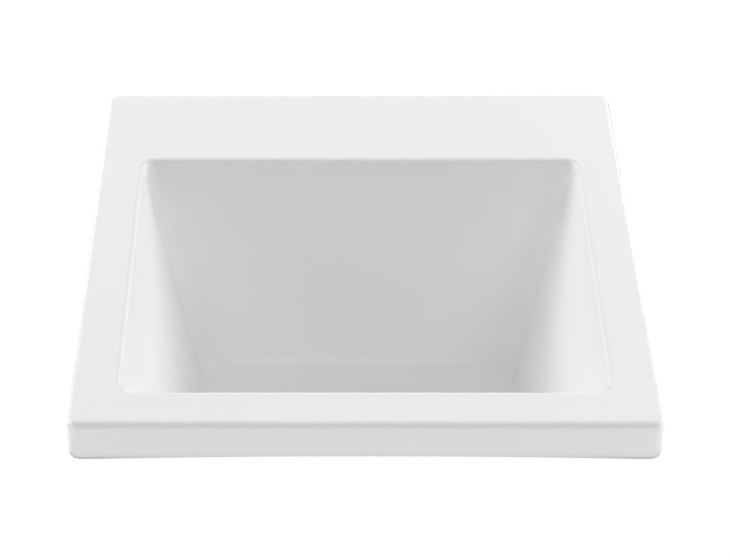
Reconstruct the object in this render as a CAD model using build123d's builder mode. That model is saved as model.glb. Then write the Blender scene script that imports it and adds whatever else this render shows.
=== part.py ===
from build123d import *
import os
from math import asin, atan, cos, degrees, radians, sin, tan

# A drop-in basin with a push-button waste, in millimetres.
# +Z is up, +X is to the right and +Y is towards the wall. The origin is in the middle of the rim's
# lower edge, which is the plane of the worktop, so the bowl and the waste hang below it.
os.makedirs("parts", exist_ok=True)

# Rim
rim_width = 559.0
rim_depth = 528.0
rim_height = 44.0
rim_corner_radius = 11.0
rim_edge_radius = 6.5
skirt_draft = 1.0  # degrees that the skirt leans out towards its lower edge
skirt_arch = 3.5  # how far the front skirt's lower edge rises in the middle
skirt_arch_margin = 24.5  # from the rim's sides to the ends of that rise

# Bowl
side_rim = 46.0
front_rim = 46.0
rear_deck = 122.0
bowl_depth = 240.0  # from the rim down to the foot of the rear wall
wall_inset = 60.0  # how far each wall has leaned in by then
mouth_corner_radius = 12.0
foot_corner_radius = 30.0
mouth_edge_radius = 5.5
floor_fillet = 9.0
floor_fall = 1.5  # degrees that the floor drops towards the waste
shell_wall = 6.0
deck_root_fillet = 8.0  # under the deck, round the outside of the bowl
skirt_root_fillet = 4.0  # under the deck, along the inside of the skirt
cut_reach = 1.0  # how far a cut or a root runs past the face that it has to cross

# Board glassed in under the rear deck, where a tap is fastened
board_length = 400.0
board_thickness = 12.0
board_margin = 3.0
board_corner_radius = 6.0
board_chamfer = 1.5

# Waste hole and its seat
drain_hole_radius = 22.25
seat_clearance = 1.5
seat_edge_radius = 1.5
drain_boss_radius = 40.0

# Waste body
flange_radius = 33.0
flange_lip = 2.4
flange_edge_radius = 1.0
seal_seat_outer_radius = 29.0
seal_seat_fall = 1.0
barrel_radius = 20.65
bore_radius = 19.0
bore_mouth_radius = 3.5
flange_root_radius = 22.0
flange_root_height = 0.8
barrel_length = 66.0
neck_wall = 2.4
socket_depth = 18.5
socket_ledge = 1.8
bore_taper_height = 3.5
throat_length = 1.0
hex_height = 10.0
hex_across_flats = 40.0

# Spider that carries the cartridge
arm_count = 3
arm_thickness = 3.0
arm_height = 6.0
hub_radius = 7.0
hub_height = 10.0

# Gaskets, washer and nut
flange_gasket_thickness = 1.5
flange_gasket_margin = 0.5
taper_gasket_height = 7.5
taper_gasket_radius = 29.0
taper_gasket_foot_radius = 27.0
taper_spigot_height = 3.5
taper_spigot_gap = 0.3
taper_spigot_draft = 0.7
slip_washer_thickness = 1.5
slip_washer_radius = 28.5
nut_height = 11.0
nut_radius = 26.0
nut_flange_radius = 29.5
nut_flange_height = 2.5
nut_lug_radius = 31.0
nut_lug_width = 6.0
nut_lug_count = 6
nut_chamfer = 0.8
thread_gap = 0.05  # between a male thread's crest and the hole it screws into

# Tailpiece
tailpiece_radius = 15.875
tailpiece_wall = 1.3
tailpiece_length = 150.0
tailpiece_thread_rise = 0.5  # of the thread's crest over the plain tube
tailpiece_washer_thickness = 1.5

# Cartridge
stopper_stroke = 8.0
cartridge_drop = 5.0  # from the top of the flange to the top of the guide bush
cartridge_radius = 8.5
cartridge_wall = 1.9
cartridge_floor = 3.0
bush_head_height = 2.0
bush_skirt_height = 6.0
spanner_slot_width = 2.0
spanner_slot_depth = 1.0
stud_radius = 4.0
stud_length = 9.0
stud_chamfer = 0.6
spring_space = 16.0  # the spring's height while the stopper is up
drain_window_width = 4.0
drain_window_height = 6.0
drain_window_rise = 1.0  # over the cartridge's floor

# Plunger and what turns or sits on it
stem_radius = 3.0
stem_thread_length = 8.0
collar_height = 2.0
spigot_radius = 2.4
running_gap = 0.05
moving_gap = 0.2  # between faces that slide or turn past each other
bore_play = 0.45  # between the cartridge's bore and what travels in it
rotor_height = 14.2
thrust_washer_thickness = 1.2
thrust_washer_radius = 6.0
clip_thickness = 0.8
clip_radius = 3.9
clip_groove_depth = 0.5
clip_mouth = 2.6
spigot_tail = 0.8  # of the spigot below the clip
tip_chamfer = 0.4

# Zigzag track and its two follower pins
track_turns = 4  # pushes that open the waste in one turn of the rotor
pin_radius = 0.75
pin_engagement = 0.8
pin_recess = 0.2  # of the pin's outer end below the cartridge's outside
track_play = 0.55
track_floor_gap = 0.8
track_margin = 2.4  # from the rotor's lower end to the pin while the stopper is up
latch_overtravel = 1.2

# Spring
wire_radius = 0.5
spring_radius = 5.1
spring_coils = 6

# Stopper
cap_radius = 31.5
cap_gap = 0.6  # under the cap's edge while it is down
cap_edge_height = 2.6
cap_crown = 3.8
cap_hollow = 1.0  # of the cap's inside above the seal's upper face
cap_boss_radius = 6.5
cap_boss_drop = 4.0  # below the seal's seat while the cap is down
cap_rib_radius = 18.5
cap_rib_width = 1.7
cap_rib_lip = 0.8
cap_lip_height = 0.9
cap_edge_width = 2.0
seal_radius = 22.8
seal_thickness = 2.5
seal_gap = 0.3  # above its seat while the stopper is down
seal_bevel = 0.8

# What follows from those sizes
wall_lean = atan(wall_inset / bowl_depth)
fall_slope = tan(radians(floor_fall))
mouth_width = rim_width - 2 * side_rim
mouth_length = rim_depth - front_rim - rear_deck
drain_y = (front_rim - rear_deck) / 2
deck_under_z = rim_height - shell_wall
skirt_flare = rim_height * tan(radians(skirt_draft))
dish_z = rim_height - bowl_depth - (mouth_length / 2 - wall_inset) * fall_slope
seat_radius = flange_radius + seat_clearance
flange_top_z = dish_z + seat_radius * fall_slope
seat_drop = flange_lip + flange_gasket_thickness
boss_drop = seat_drop + shell_wall
drain_axis = Axis((0, drain_y, 0), (0, 0, 1))


def drain_section():
    """The upright plane through the waste's axis: local x is the radius, y the height over the flange."""
    return Plane(origin=(0, drain_y, flange_top_z), x_dir=(1, 0, 0), z_dir=(0, -1, 0))


def drain_level(height):
    """The level plane on the waste's axis at this height over the top of the flange."""
    return Plane((0, drain_y, flange_top_z + height))


def rim_section(height, growth):
    """The rim's outline at this height, grown outwards by this much."""
    flare = (rim_height - height) * tan(radians(skirt_draft)) + growth
    with BuildSketch(Plane.XY.offset(height)) as outline:
        RectangleRounded(rim_width + 2 * flare, rim_depth + 2 * flare, rim_corner_radius + flare)
    return outline.sketch


def bowl_space(growth, top_z, foot_fillet):
    """The bowl's inside grown outwards by this much, from top_z down to its dished floor."""
    low_z = dish_z - growth / cos(radians(floor_fall))
    with BuildPart() as space:
        for z in (top_z, low_z - cut_reach):
            depth = (rim_height - z) / bowl_depth
            side = growth / cos(wall_lean)
            inset = 2 * (wall_inset * depth - side)
            corner = mouth_corner_radius + (foot_corner_radius - mouth_corner_radius) * depth + side
            with BuildSketch(Plane((0, drain_y, z))):
                RectangleRounded(mouth_width - inset, mouth_length - inset, corner)
        loft(ruled=True)
        with BuildSketch(Plane.XZ.offset(-drain_y)):
            with BuildLine():
                Polyline(
                    (0, low_z),
                    (rim_width, low_z + rim_width * fall_slope),
                    (rim_width, top_z),
                    (0, top_z),
                    close=True,
                )
            make_face()
        revolve(axis=drain_axis, mode=Mode.INTERSECT)
        dish = space.faces().filter_by(GeomType.CONE).sort_by(SortBy.AREA)[-1]
        fillet(dish.edges(), foot_fillet)
    return space.part


# Basin: one moulded shell with a hollow rim, drafted walls and a dished floor
with BuildPart() as rim_hollow:
    for height in (0, deck_under_z):
        add(rim_section(height, -shell_wall))
    loft(ruled=True)
    fillet(rim_hollow.faces().sort_by(Axis.Z)[-1].edges(), skirt_root_fillet)

bowl_outside = bowl_space(shell_wall, deck_under_z + cut_reach, floor_fillet + shell_wall)
bowl_inside = bowl_space(0, rim_height, floor_fillet)

with BuildPart() as basin:
    for height in (0, rim_height):
        add(rim_section(height, 0))
    loft(ruled=True)
    fillet(basin.faces().sort_by(Axis.Z)[-1].edges(), rim_edge_radius)
    add(rim_hollow.part, mode=Mode.SUBTRACT)
    add(bowl_outside)
    under_deck = basin.faces().filter_by(Plane.XY).sort_by(lambda f: abs(f.center().Z - deck_under_z))[0]
    fillet(under_deck.inner_wires()[0].edges(), deck_root_fillet)
    with BuildSketch(drain_level(-boss_drop)):
        Circle(drain_boss_radius)
    extrude(amount=shell_wall)
    add(bowl_inside, mode=Mode.SUBTRACT)
    fillet(basin.faces().sort_by(Axis.Z)[-1].inner_wires()[0].edges(), mouth_edge_radius)
    with BuildSketch(drain_level(-seat_drop)):
        Circle(seat_radius)
    extrude(amount=seat_drop + cut_reach, mode=Mode.SUBTRACT)
    seat_edge = basin.edges().filter_by(GeomType.CIRCLE).sort_by(
        lambda edge: abs(edge.radius - seat_radius) + abs(edge.center().Z - flange_top_z)
    )[0]
    fillet(seat_edge, seat_edge_radius)
    with BuildSketch(drain_level(-boss_drop - cut_reach)):
        Circle(drain_hole_radius)
    extrude(amount=shell_wall + 2 * cut_reach, mode=Mode.SUBTRACT)
    with BuildSketch(Plane.XZ.offset(rim_depth / 2 - shell_wall - cut_reach)):
        with BuildLine():
            arch_end = rim_width / 2 - skirt_arch_margin
            ThreePointArc((-arch_end, 0), (0, skirt_arch), (arch_end, 0))
            Line((arch_end, 0), (-arch_end, 0))
        make_face()
    extrude(amount=shell_wall + skirt_flare + 2 * cut_reach, mode=Mode.SUBTRACT)
basin.part.label = "basin"
export_step(basin.part, "parts/basin.step")

# Board: stiffens the deck behind the bowl, with its top face against the deck
board_front_y = drain_y + mouth_length / 2 + shell_wall + deck_root_fillet + board_margin
board_back_y = rim_depth / 2 - shell_wall - skirt_root_fillet - board_margin
with BuildPart() as deck_board:
    with BuildSketch(Plane((0, (board_front_y + board_back_y) / 2, deck_under_z - board_thickness))):
        RectangleRounded(board_length, board_back_y - board_front_y, board_corner_radius)
    extrude(amount=board_thickness)
    chamfer(deck_board.faces().sort_by(Axis.Z)[0].edges(), board_chamfer)
deck_board.part.label = "deck_board"
export_step(deck_board.part, "parts/deck_board.step")

# Waste body: flange, barrel, neck with its socket and hexagon, and the spider, all one casting
bush_top = -cartridge_drop
cartridge_top = bush_top - bush_head_height
bush_foot = cartridge_top - bush_skirt_height
collar_top = bush_foot - moving_gap
rotor_top = collar_top - collar_height - moving_gap
rotor_foot = rotor_top - rotor_height
washer_top = rotor_foot - moving_gap
spring_top = washer_top - thrust_washer_thickness
cartridge_base = spring_top - spring_space
hub_top = cartridge_base - cartridge_floor
tail_thread_radius = tailpiece_radius + tailpiece_thread_rise
neck_radius = tail_thread_radius + thread_gap
ledge_radius = neck_radius - socket_ledge
neck_outer_radius = neck_radius + neck_wall
taper_top = -barrel_length + bore_taper_height
socket_top = -barrel_length - throat_length
socket_foot = socket_top - socket_depth

with BuildPart() as waste_body:
    with BuildSketch(drain_section()):
        with BuildLine():
            Polyline(
                (bore_radius, -seal_seat_fall - bore_mouth_radius),
                (bore_radius, taper_top),
                (ledge_radius, -barrel_length),
                (ledge_radius, socket_top),
                (neck_radius, socket_top),
                (neck_radius, socket_foot),
                (neck_outer_radius, socket_foot),
                (neck_outer_radius, socket_top),
                (barrel_radius, -barrel_length + throat_length),
                (barrel_radius, -seal_seat_fall - bore_mouth_radius),
                (flange_root_radius, -flange_lip - flange_root_height),
                (flange_root_radius, -flange_lip),
                (flange_radius, -flange_lip),
                (flange_radius, -flange_edge_radius),
            )
            CenterArc(
                (flange_radius - flange_edge_radius, -flange_edge_radius), flange_edge_radius, 0, 90
            )
            Polyline(
                (flange_radius - flange_edge_radius, 0),
                (seal_seat_outer_radius, 0),
                (bore_radius + bore_mouth_radius, -seal_seat_fall),
            )
            CenterArc(
                (bore_radius + bore_mouth_radius, -seal_seat_fall - bore_mouth_radius),
                bore_mouth_radius,
                90,
                90,
            )
        make_face()
    revolve(axis=drain_axis)
    with BuildSketch(drain_level(hub_top - hub_height)):
        Circle(hub_radius)
    extrude(amount=hub_height)
    with BuildSketch(drain_level(hub_top - (hub_height + arm_height) / 2)):
        with PolarLocations(0, arm_count):
            Rectangle(bore_radius + thread_gap, arm_thickness, align=(Align.MIN, Align.CENTER))
    extrude(amount=arm_height)
    with BuildSketch(drain_level(hub_top - hub_height)):
        Circle(stud_radius + thread_gap)
    extrude(amount=hub_height, mode=Mode.SUBTRACT)
    with BuildSketch(drain_level(socket_foot)):
        RegularPolygon(hex_across_flats / 2, 6, major_radius=False)
        Circle(neck_radius, mode=Mode.SUBTRACT)
    extrude(amount=hex_height)
waste_body.part.label = "waste_body"
export_step(waste_body.part, "parts/waste_body.step")

# Gaskets, washer and nut that clamp the waste body to the basin
gasket_foot = -boss_drop - taper_gasket_height
washer_foot = gasket_foot - slip_washer_thickness
nut_foot = washer_foot - nut_height

with BuildPart() as flange_gasket:
    with BuildSketch(drain_level(-seat_drop)):
        Circle(flange_radius - flange_gasket_margin)
        Circle(drain_hole_radius, mode=Mode.SUBTRACT)
    extrude(amount=flange_gasket_thickness)
flange_gasket.part.label = "flange_gasket"
export_step(flange_gasket.part, "parts/flange_gasket.step")

with BuildPart() as taper_gasket:
    with BuildSketch(drain_section()):
        with BuildLine():
            spigot_foot = drain_hole_radius - taper_spigot_gap
            Polyline(
                (barrel_radius + thread_gap, gasket_foot),
                (taper_gasket_foot_radius, gasket_foot),
                (taper_gasket_radius, gasket_foot + taper_gasket_height / 2),
                (taper_gasket_radius, -boss_drop),
                (spigot_foot, -boss_drop),
                (spigot_foot - taper_spigot_draft, -boss_drop + taper_spigot_height),
                (barrel_radius + thread_gap, -boss_drop + taper_spigot_height),
                close=True,
            )
        make_face()
    revolve(axis=drain_axis)
taper_gasket.part.label = "taper_gasket"
export_step(taper_gasket.part, "parts/taper_gasket.step")

with BuildPart() as slip_washer:
    with BuildSketch(drain_level(washer_foot)):
        Circle(slip_washer_radius)
        Circle(barrel_radius + running_gap, mode=Mode.SUBTRACT)
    extrude(amount=slip_washer_thickness)
slip_washer.part.label = "slip_washer"
export_step(slip_washer.part, "parts/slip_washer.step")

with BuildPart() as lock_nut:
    with BuildSketch(drain_level(nut_foot)):
        Circle(nut_radius)
        with PolarLocations(0, nut_lug_count):
            Rectangle(nut_lug_radius, nut_lug_width, align=(Align.MIN, Align.CENTER))
    extrude(amount=nut_height)
    with BuildSketch(drain_level(washer_foot - nut_flange_height)):
        Circle(nut_flange_radius)
    extrude(amount=nut_flange_height)
    with BuildSketch(drain_level(nut_foot)):
        Circle(barrel_radius + thread_gap)
    extrude(amount=nut_height, mode=Mode.SUBTRACT)
    bore_ends = lock_nut.edges().filter_by(GeomType.CIRCLE).filter_by(
        lambda edge: abs(edge.radius - barrel_radius - thread_gap) < thread_gap / 2
    )
    chamfer(bore_ends, nut_chamfer)
lock_nut.part.label = "lock_nut"
export_step(lock_nut.part, "parts/lock_nut.step")

# Tailpiece and the washer it is screwed up against
tailpiece_top = socket_top - tailpiece_washer_thickness
tailpiece_bore = tailpiece_radius - tailpiece_wall
with BuildPart() as tailpiece:
    with BuildSketch(drain_section()):
        with BuildLine():
            Polyline(
                (tailpiece_bore, tailpiece_top - tailpiece_length),
                (tailpiece_radius, tailpiece_top - tailpiece_length),
                (tailpiece_radius, socket_foot),
                (tail_thread_radius, socket_foot),
                (tail_thread_radius, tailpiece_top),
                (tailpiece_bore, tailpiece_top),
                close=True,
            )
        make_face()
    revolve(axis=drain_axis)
tailpiece.part.label = "tailpiece"
export_step(tailpiece.part, "parts/tailpiece.step")

with BuildPart() as tailpiece_washer:
    with BuildSketch(drain_level(tailpiece_top)):
        Circle(tail_thread_radius)
        Circle(tailpiece_bore, mode=Mode.SUBTRACT)
    extrude(amount=tailpiece_washer_thickness)
tailpiece_washer.part.label = "tailpiece_washer"
export_step(tailpiece_washer.part, "parts/tailpiece_washer.step")

# Cartridge: a barrel screwed into the hub, its two follower pins, and the bush that closes it
cartridge_bore = cartridge_radius - cartridge_wall
rotor_radius = cartridge_bore - bore_play
pin_height = rotor_foot + track_margin
with BuildPart() as latch_barrel:
    with BuildSketch(drain_level(hub_top)):
        Circle(cartridge_radius)
    extrude(amount=cartridge_top - hub_top)
    with BuildSketch(drain_level(cartridge_base)):
        Circle(cartridge_bore)
    extrude(amount=cartridge_top - cartridge_base, mode=Mode.SUBTRACT)
    with BuildSketch(drain_level(hub_top - stud_length)):
        Circle(stud_radius)
    extrude(amount=stud_length)
    chamfer(latch_barrel.faces().sort_by(Axis.Z)[0].edges(), stud_chamfer)
    with BuildSketch(drain_section().offset(-cartridge_radius)):
        with Locations((0, cartridge_base + drain_window_rise + drain_window_height / 2)):
            SlotOverall(drain_window_height, drain_window_width, rotation=90)
    extrude(amount=2 * cartridge_radius, mode=Mode.SUBTRACT)
    with BuildSketch(Plane.YZ.offset(-cartridge_radius)):
        with Locations((drain_y, flange_top_z + pin_height)):
            Circle(pin_radius + thread_gap)
    extrude(amount=2 * cartridge_radius, mode=Mode.SUBTRACT)
latch_barrel.part.label = "latch_barrel"
export_step(latch_barrel.part, "parts/latch_barrel.step")

pin_tip = rotor_radius - pin_engagement
with BuildPart() as follower_pins:
    for side in (-1, 1):
        with BuildSketch(Plane.YZ.offset(side * pin_tip)):
            with Locations((drain_y, flange_top_z + pin_height)):
                Circle(pin_radius)
        extrude(amount=side * (cartridge_radius - pin_tip - pin_recess))
follower_pins.part.label = "follower_pins"
export_step(follower_pins.part, "parts/follower_pins.step")

with BuildPart() as guide_bush:
    with BuildSketch(drain_level(bush_foot)):
        Circle(cartridge_bore - thread_gap)
    extrude(amount=bush_skirt_height)
    with BuildSketch(drain_level(cartridge_top)):
        Circle(cartridge_radius)
    extrude(amount=bush_head_height)
    with BuildSketch(drain_level(bush_top)):
        Rectangle(2 * cartridge_radius, spanner_slot_width)
    extrude(amount=-spanner_slot_depth, mode=Mode.SUBTRACT)
    with BuildSketch(drain_level(bush_foot)):
        Circle(stem_radius + running_gap)
    extrude(amount=bush_top - bush_foot, mode=Mode.SUBTRACT)
guide_bush.part.label = "guide_bush"
export_step(guide_bush.part, "parts/guide_bush.step")

# Stopper: the plunger that slides in the bush, with the cap and its seal on top
seal_seat_slope = seal_seat_fall / (seal_seat_outer_radius - bore_radius - bore_mouth_radius)
seal_foot = stopper_stroke + seal_gap - seal_seat_slope * (seal_seat_outer_radius - seal_radius)
cap_under = seal_foot + seal_thickness
cap_edge_foot = stopper_stroke + cap_gap
cap_edge_top = cap_edge_foot + cap_edge_height
cap_top = cap_edge_top + cap_crown
boss_foot = stopper_stroke - cap_boss_drop
stem_top = boss_foot + stem_thread_length
spigot_foot_height = spring_top - clip_thickness - spigot_tail

with BuildPart() as plunger:
    with BuildSketch(drain_section()):
        with BuildLine():
            Polyline(
                (0, spigot_foot_height),
                (spigot_radius - tip_chamfer, spigot_foot_height),
                (spigot_radius, spigot_foot_height + tip_chamfer),
                (spigot_radius, spring_top - clip_thickness),
                (spigot_radius - clip_groove_depth, spring_top - clip_thickness),
                (spigot_radius - clip_groove_depth, spring_top),
                (spigot_radius, spring_top),
                (spigot_radius, collar_top - collar_height),
                (rotor_radius, collar_top - collar_height),
                (rotor_radius, collar_top),
                (stem_radius, collar_top),
                (stem_radius, stem_top - tip_chamfer),
                (stem_radius - tip_chamfer, stem_top),
                (0, stem_top),
                close=True,
            )
        make_face()
    revolve(axis=drain_axis)
plunger.part.label = "plunger"
export_step(plunger.part, "parts/plunger.step")

# The rotor's track: sloping slots that meet in a zigzag, one slope down and one up for every push
track_steps = 2 * track_turns
step_angle = 360 / track_steps
slope_run = 2 * (rotor_radius - pin_engagement / 2) * sin(radians(step_angle / 2))
slope_length = (slope_run**2 + stopper_stroke**2) ** 0.5
slope_angle = degrees(atan(stopper_stroke / slope_run))
track_width = 2 * (pin_radius + track_play)
track_middle = rotor_foot + track_margin + stopper_stroke / 2
track_floor = (pin_tip - track_floor_gap) * cos(radians(step_angle / 2))
with BuildPart() as track_rotor:
    with BuildSketch(drain_level(rotor_foot)):
        Circle(rotor_radius)
        Circle(spigot_radius + running_gap, mode=Mode.SUBTRACT)
    extrude(amount=rotor_height)
    for step in range(track_steps):
        lean_side = 1 if step % 2 == 0 else -1
        facing = Plane(
            origin=(0, drain_y, flange_top_z + track_middle),
            x_dir=Vector(0, 1, 0).rotate(Axis.Z, (step + 0.5) * step_angle),
            z_dir=Vector(1, 0, 0).rotate(Axis.Z, (step + 0.5) * step_angle),
        )
        with BuildSketch(facing.offset(track_floor)):
            SlotCenterToCenter(slope_length, track_width, rotation=lean_side * slope_angle)
        extrude(amount=rotor_radius, mode=Mode.SUBTRACT)
    for turn in range(track_turns):
        facing = Plane(
            origin=(0, drain_y, flange_top_z + track_middle + stopper_stroke / 2),
            x_dir=Vector(0, 1, 0).rotate(Axis.Z, (2 * turn + 1) * step_angle),
            z_dir=Vector(1, 0, 0).rotate(Axis.Z, (2 * turn + 1) * step_angle),
        )
        with BuildSketch(facing.offset(track_floor)):
            with Locations((0, latch_overtravel / 2)):
                SlotOverall(track_width + latch_overtravel, track_width, rotation=90)
        extrude(amount=rotor_radius, mode=Mode.SUBTRACT)
track_rotor.part.label = "track_rotor"
export_step(track_rotor.part, "parts/track_rotor.step")

# Washer and spring clip that hold the rotor on the plunger's spigot
with BuildPart() as thrust_washer:
    with BuildSketch(drain_level(spring_top)):
        Circle(thrust_washer_radius)
        Circle(spigot_radius + running_gap, mode=Mode.SUBTRACT)
    extrude(amount=thrust_washer_thickness)
thrust_washer.part.label = "thrust_washer"
export_step(thrust_washer.part, "parts/thrust_washer.step")

with BuildPart() as retaining_clip:
    with BuildSketch(drain_level(spring_top - clip_thickness)):
        Circle(clip_radius)
        Circle(spigot_radius - clip_groove_depth + running_gap, mode=Mode.SUBTRACT)
        Rectangle(clip_radius, clip_mouth, align=(Align.MIN, Align.CENTER), mode=Mode.SUBTRACT)
    extrude(amount=clip_thickness)
retaining_clip.part.label = "retaining_clip"
export_step(retaining_clip.part, "parts/retaining_clip.step")

# Return spring between the cartridge's floor and the washer
spring_rise = spring_space - 2 * wire_radius
with BuildPart() as return_spring:
    with BuildLine():
        coil = Helix(
            pitch=spring_rise / spring_coils,
            height=spring_rise,
            radius=spring_radius,
            center=(0, drain_y, flange_top_z + cartridge_base + wire_radius),
        )
    with BuildSketch(Plane(coil @ 0, z_dir=coil % 0)):
        Circle(wire_radius)
    sweep(is_frenet=True)
return_spring.part.label = "return_spring"
export_step(return_spring.part, "parts/return_spring.step")

# Cap: a crowned disc with a boss that screws on the plunger and a rib that holds the seal
crown_radius = (cap_radius**2 + cap_crown**2) / (2 * cap_crown)
crown_angle = degrees(asin(cap_radius / crown_radius))
with BuildPart() as stopper_cap:
    with BuildSketch(drain_section()):
        with BuildLine():
            CenterArc((0, cap_top - crown_radius), crown_radius, 90 - crown_angle, crown_angle)
            Polyline(
                (cap_radius, cap_edge_top),
                (cap_radius, cap_edge_foot),
                (cap_radius - cap_edge_width, cap_edge_foot),
                (cap_radius - cap_edge_width, cap_under),
                (cap_rib_radius, cap_under),
                (cap_rib_radius, seal_foot),
                (cap_rib_radius + cap_rib_lip, seal_foot),
                (cap_rib_radius, seal_foot - cap_lip_height),
                (cap_rib_radius - cap_rib_width, seal_foot - cap_lip_height),
                (cap_rib_radius - cap_rib_width, cap_under + cap_hollow),
                (cap_boss_radius, cap_under + cap_hollow),
                (cap_boss_radius, boss_foot),
                (stem_radius + thread_gap, boss_foot),
                (stem_radius + thread_gap, stem_top),
                (0, stem_top),
                (0, cap_top),
            )
        make_face()
    revolve(axis=drain_axis)
stopper_cap.part.label = "stopper_cap"
export_step(stopper_cap.part, "parts/stopper_cap.step")

with BuildPart() as stopper_seal:
    with BuildSketch(drain_section()):
        with BuildLine():
            Polyline(
                (cap_rib_radius + thread_gap, seal_foot),
                (seal_radius - seal_bevel, seal_foot),
                (seal_radius, seal_foot + seal_bevel),
                (seal_radius, cap_under),
                (cap_rib_radius + thread_gap, cap_under),
                close=True,
            )
        make_face()
    revolve(axis=drain_axis)
stopper_seal.part.label = "stopper_seal"
export_step(stopper_seal.part, "parts/stopper_seal.step")
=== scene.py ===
# %% [markdown]
# # A drop-in basin and its push-button waste
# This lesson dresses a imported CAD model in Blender. The basin is one thin moulded shell of white acrylic
# with glass fibre behind it. Under its bowl hangs a chromed waste with a sprung stopper. The CAD model
# says where everything is. Each cell below makes one finish or one piece and says why it is made that way,
# so that the ideas carry over to other moulded and turned objects.

# %% Load the frame
from math import atan, cos, pi, radians, sin, tan

import bmesh
import bpy
import numpy as np
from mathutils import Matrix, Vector


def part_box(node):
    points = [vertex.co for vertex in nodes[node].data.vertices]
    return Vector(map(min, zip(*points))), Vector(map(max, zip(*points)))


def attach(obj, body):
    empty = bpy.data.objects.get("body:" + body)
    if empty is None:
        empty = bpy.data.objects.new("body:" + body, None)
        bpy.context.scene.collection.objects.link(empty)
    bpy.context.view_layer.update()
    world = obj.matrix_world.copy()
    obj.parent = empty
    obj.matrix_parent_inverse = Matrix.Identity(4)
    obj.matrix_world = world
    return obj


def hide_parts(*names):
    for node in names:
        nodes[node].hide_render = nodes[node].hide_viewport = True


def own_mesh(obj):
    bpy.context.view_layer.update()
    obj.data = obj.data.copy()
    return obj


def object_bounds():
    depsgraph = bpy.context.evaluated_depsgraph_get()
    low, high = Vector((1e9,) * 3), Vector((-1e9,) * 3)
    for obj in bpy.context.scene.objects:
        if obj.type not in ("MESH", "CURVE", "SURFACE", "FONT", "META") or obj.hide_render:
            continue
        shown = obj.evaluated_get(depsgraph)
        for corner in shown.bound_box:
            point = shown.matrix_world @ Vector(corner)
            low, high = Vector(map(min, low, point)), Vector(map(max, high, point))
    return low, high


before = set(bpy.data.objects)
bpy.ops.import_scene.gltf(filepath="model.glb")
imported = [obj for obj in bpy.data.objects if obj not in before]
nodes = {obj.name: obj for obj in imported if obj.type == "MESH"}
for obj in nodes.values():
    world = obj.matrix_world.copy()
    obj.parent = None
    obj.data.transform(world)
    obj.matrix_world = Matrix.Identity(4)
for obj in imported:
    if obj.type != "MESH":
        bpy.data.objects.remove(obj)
cad_low, cad_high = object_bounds()
mm = 0.001

# %% [markdown]
# ## The camera
# The photograph looks down into the bowl with a long lens, so that the sides of the rim run almost
# parallel. Fitting the outline of the rim to the picture gives the tilt, the distance and the focal
# length. The optical axis passes a little left of the picture's middle, which a small sideways shift of
# the lens repeats.

# %% Camera
picture_width = 730  # pixels
focal_pixels = 2071.0
axis_pixel_x = 324.5  # where the optical axis meets the picture
camera_tilt = 40.67  # degrees below the horizon
camera_place = (-38.4 * mm, -1635.0 * mm, 1400.0 * mm)

camera_data = bpy.data.cameras.new("camera")
camera_data.sensor_width = 36.0
camera_data.lens = camera_data.sensor_width * focal_pixels / picture_width
camera_data.shift_x = (picture_width / 2 - axis_pixel_x) / picture_width
camera = bpy.data.objects.new("camera", camera_data)
camera.location = camera_place
camera.rotation_euler = (radians(90 - camera_tilt), 0, 0)
bpy.context.scene.collection.objects.link(camera)
bpy.context.scene.camera = camera
print("lens", round(camera_data.lens, 1), "mm, shift", round(camera_data.shift_x, 4))

# %% [markdown]
# ## Helpers for materials
# A finish is a small tree of nodes round one Principled shader. These helpers keep each tree to a few
# lines: one makes the material, one adds a node with its settings, and one adds a bump that several
# finishes share. Every pattern reads Object coordinates. All pieces sit at the origin, so those are metres
# in the model's frame.


# %% Material helpers
mid_noise = (0.3, 0.7)  # most values of a noise lie between these


def new_material(name, colour, roughness, metallic=0.0, **sockets):
    """A material with one Principled shader. Returns the material, its tree and the shader."""
    material = bpy.data.materials.new(name)
    material.use_nodes = True
    tree = material.node_tree
    shader = tree.nodes["Principled BSDF"]
    shader.inputs["Base Color"].default_value = (*colour, 1)
    shader.inputs["Roughness"].default_value = roughness
    shader.inputs["Metallic"].default_value = metallic
    for socket, value in sockets.items():
        shader.inputs[socket.replace("_", " ")].default_value = value
    return material, tree, shader


def add_node(tree, kind, settings=None, **inputs):
    """Adds a node, sets its properties and fills or links its inputs, which are named or numbered."""
    node = tree.nodes.new(kind)
    for key, value in (settings or {}).items():
        setattr(node, key, value)
    for key, value in inputs.items():
        socket = node.inputs[int(key[1:])] if key[0] == "i" and key[1:].isdigit() else node.inputs[key]
        if isinstance(value, bpy.types.NodeSocket):
            tree.links.new(value, socket)
        else:
            socket.default_value = value
    return node


def calculate(tree, operation, *values):
    """The result of one Math node on these values, which may be linked or written."""
    inputs = {"i" + str(index): value for index, value in enumerate(values)}
    return add_node(tree, "ShaderNodeMath", {"operation": operation}, **inputs).outputs[0]


def object_point(tree):
    """The shaded point in the model's frame, in metres."""
    return tree.nodes.new("ShaderNodeTexCoord").outputs["Object"]


def noise_at(tree, point, scale, detail=3.0, roughness=0.5):
    """Soft random values between 0 and 1, with this many features to a metre."""
    return add_node(tree, "ShaderNodeTexNoise", Vector=point, Scale=scale, Detail=detail,
                    Roughness=roughness).outputs["Fac"]


def remap(tree, value, low, high, new_low, new_high):
    """Maps the range low to high onto new_low to new_high, and holds values outside it."""
    return add_node(tree, "ShaderNodeMapRange", Value=value, **{"From Min": low, "From Max": high,
                    "To Min": new_low, "To Max": new_high}).outputs["Result"]


def mix_colour(tree, factor, first, second):
    """Blends two colours, which may be linked or written."""
    return add_node(tree, "ShaderNodeMix", {"data_type": "RGBA"}, i0=factor, i6=first, i7=second).outputs[2]


def add_bump(tree, shader, height, distance, strength=1.0):
    """Raises the surface by this height, given in metres, for the light alone."""
    bump = add_node(tree, "ShaderNodeBump", Height=height, Distance=distance, Strength=strength)
    tree.links.new(bump.outputs["Normal"], shader.inputs["Normal"])


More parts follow.
